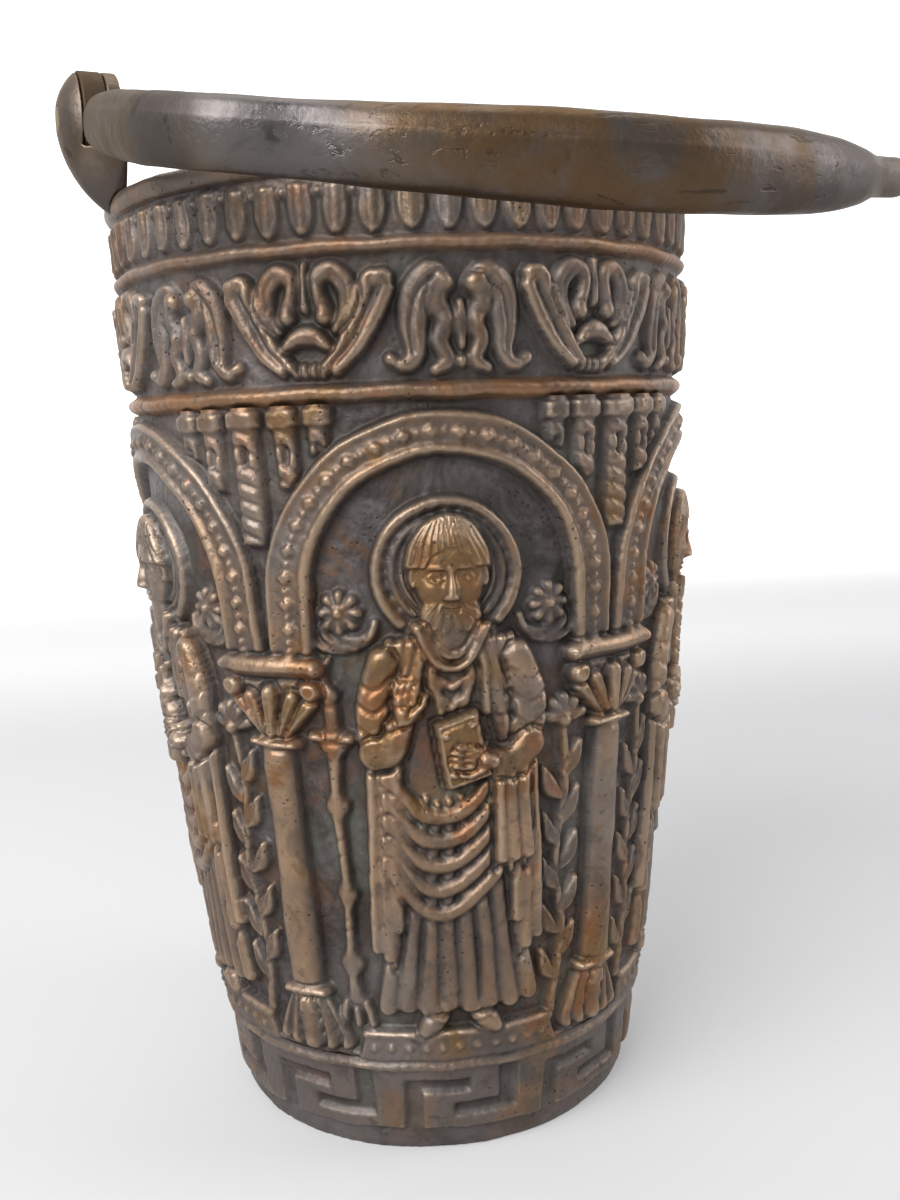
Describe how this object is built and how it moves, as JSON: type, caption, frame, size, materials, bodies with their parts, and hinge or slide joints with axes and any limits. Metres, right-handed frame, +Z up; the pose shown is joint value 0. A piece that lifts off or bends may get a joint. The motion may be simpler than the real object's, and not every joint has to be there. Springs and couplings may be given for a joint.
{
  "type": "holy water bucket",
  "caption": "Tapered cast bronze holy water bucket with a relief arcade round its wall and a bail that swings in forked ears.",
  "frame": {"origin": "centre of the base's flat underside", "axes": "+Z up through the mouth; X along the line of the bail's two pivots; the bail lies folded towards -Y"},
  "size_m": [0.1318, 0.1596, 0.2027],
  "materials": {
    "wall_bronze": "cast bronze, dark in the recesses and worn on the relief",
    "base_bronze": "plain dark bronze",
    "ear_bronze": "smooth dark bronze",
    "pin_bronze": "worn bronze",
    "bail_bronze": "hand-worn bronze, polished along its edges"
  },
  "bodies": {
    "bucket": {"bucket_wall": "wall_bronze", "base_disc": "base_bronze", "left_ear": "ear_bronze", "right_ear": "ear_bronze", "left_pin": "pin_bronze", "right_pin": "pin_bronze"},
    "bail": {"bail_handle": "bail_bronze"}
  },
  "joints": [
    {"name": "bail_swing", "type": "hinge", "parent": "bucket", "child": "bail", "pos_m": [0, 0, 0.1944], "axis": [-1, 0, 0], "range_deg": [0, 208.4]}
  ]
}
